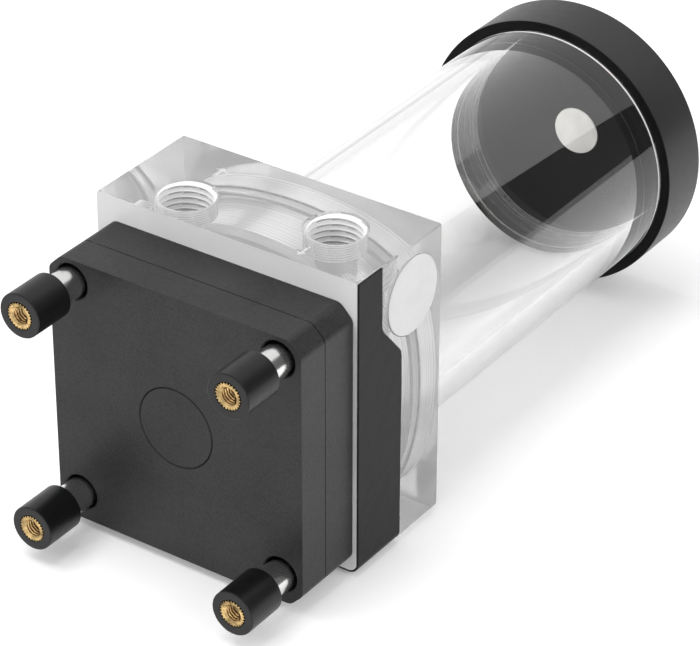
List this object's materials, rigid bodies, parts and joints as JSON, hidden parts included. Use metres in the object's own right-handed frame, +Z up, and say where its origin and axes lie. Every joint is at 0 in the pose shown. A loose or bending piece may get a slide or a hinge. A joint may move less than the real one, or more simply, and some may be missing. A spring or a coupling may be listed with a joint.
{
  "type": "coolant pump reservoir",
  "caption": "Liquid cooling pump on rubber feet under a clear ported block, with a clear tube reservoir and a black end cap with a fill plug.",
  "frame": {"origin": "middle of the four foot ends, on the common axis of pump and tube", "axes": "+Z up the tube towards the cap, -Y out of the two ports, +X towards the badge"},
  "size_m": [0.0653, 0.0697, 0.1738],
  "materials": {
    "rubber_black": "matt moulded rubber",
    "insert_brass": "knurled and tapped",
    "steel_bright": "turned, bright",
    "pump_black": "fine moulded grain",
    "lamination_steel": "stacked sheets",
    "bobbin_white": "moulded",
    "winding_copper": "enamelled wire",
    "board_green": "solder resist",
    "component_black": "moulded",
    "can_black": "moulded",
    "ceramic_white": "ground ceramic",
    "bush_grey": "carbon-filled",
    "magnet_dark": "sintered ring",
    "impeller_black": "moulded",
    "seal_black": "moulded ring",
    "seal_pale": "pale silicone",
    "acrylic_clear": "polished clear acrylic",
    "cap_black": "turned, satin",
    "plug_bright": "plated",
    "cover_black": "black, fine brushed lines",
    "badge_pale": "pale translucent disc"
  },
  "bodies": {
    "base": {"board_components": "component_black", "cable_grommet": "rubber_black", "coil_bobbins": "bobbin_white", "control_board": "board_green", "damper_back_left": "rubber_black", "damper_back_right": "rubber_black", "damper_front_left": "rubber_black", "damper_front_right": "rubber_black", "damper_inserts": "insert_brass", "damper_studs": "steel_bright", "pump_bottom_cover": "pump_black", "pump_housing": "pump_black", "pump_seal": "seal_black", "pump_top_block": "acrylic_clear", "reservoir_tube": "acrylic_clear", "rotor_can": "can_black", "rotor_shaft": "ceramic_white", "side_badge": "badge_pale", "side_cover": "cover_black", "standoff_back_left": "steel_bright", "standoff_back_right": "steel_bright", "standoff_front_left": "steel_bright", "standoff_front_right": "steel_bright", "stator_coils": "winding_copper", "stator_core": "lamination_steel", "thrust_washer": "ceramic_white", "tube_seal": "seal_pale"},
    "rotor": {"bearing_bush": "bush_grey", "rotor_magnet": "magnet_dark", "magnet_sleeve": "steel_bright", "impeller": "impeller_black"},
    "cap": {"end_cap": "cap_black", "cap_seal": "seal_black"},
    "plug_lift": {"fill_plug_seal": "seal_black"},
    "plug": {"fill_plug": "plug_bright"}
  },
  "joints": [
    {"name": "rotor_spin", "type": "hinge", "parent": "base", "child": "rotor", "pos_m": [0, 0, 0.03], "axis": [0, 0, 1], "continuous": true},
    {"name": "cap_pull", "type": "slide", "parent": "base", "child": "cap", "axis": [0, 0, 1], "range_m": [0, 0.05]},
    {"name": "plug_climb", "type": "slide", "parent": "cap", "child": "plug_lift", "axis": [0, 0, 1], "range_m": [0, 0.005]},
    {"name": "plug_turn", "type": "hinge", "parent": "plug_lift", "child": "plug", "pos_m": [0, 0, 0.17], "axis": [0, 0, 1], "range_deg": [0, 1350]}
  ],
  "couplings": [
    {"joint": "plug_turn", "follows": "plug_climb", "rad_per_m": 4699.5}
  ]
}
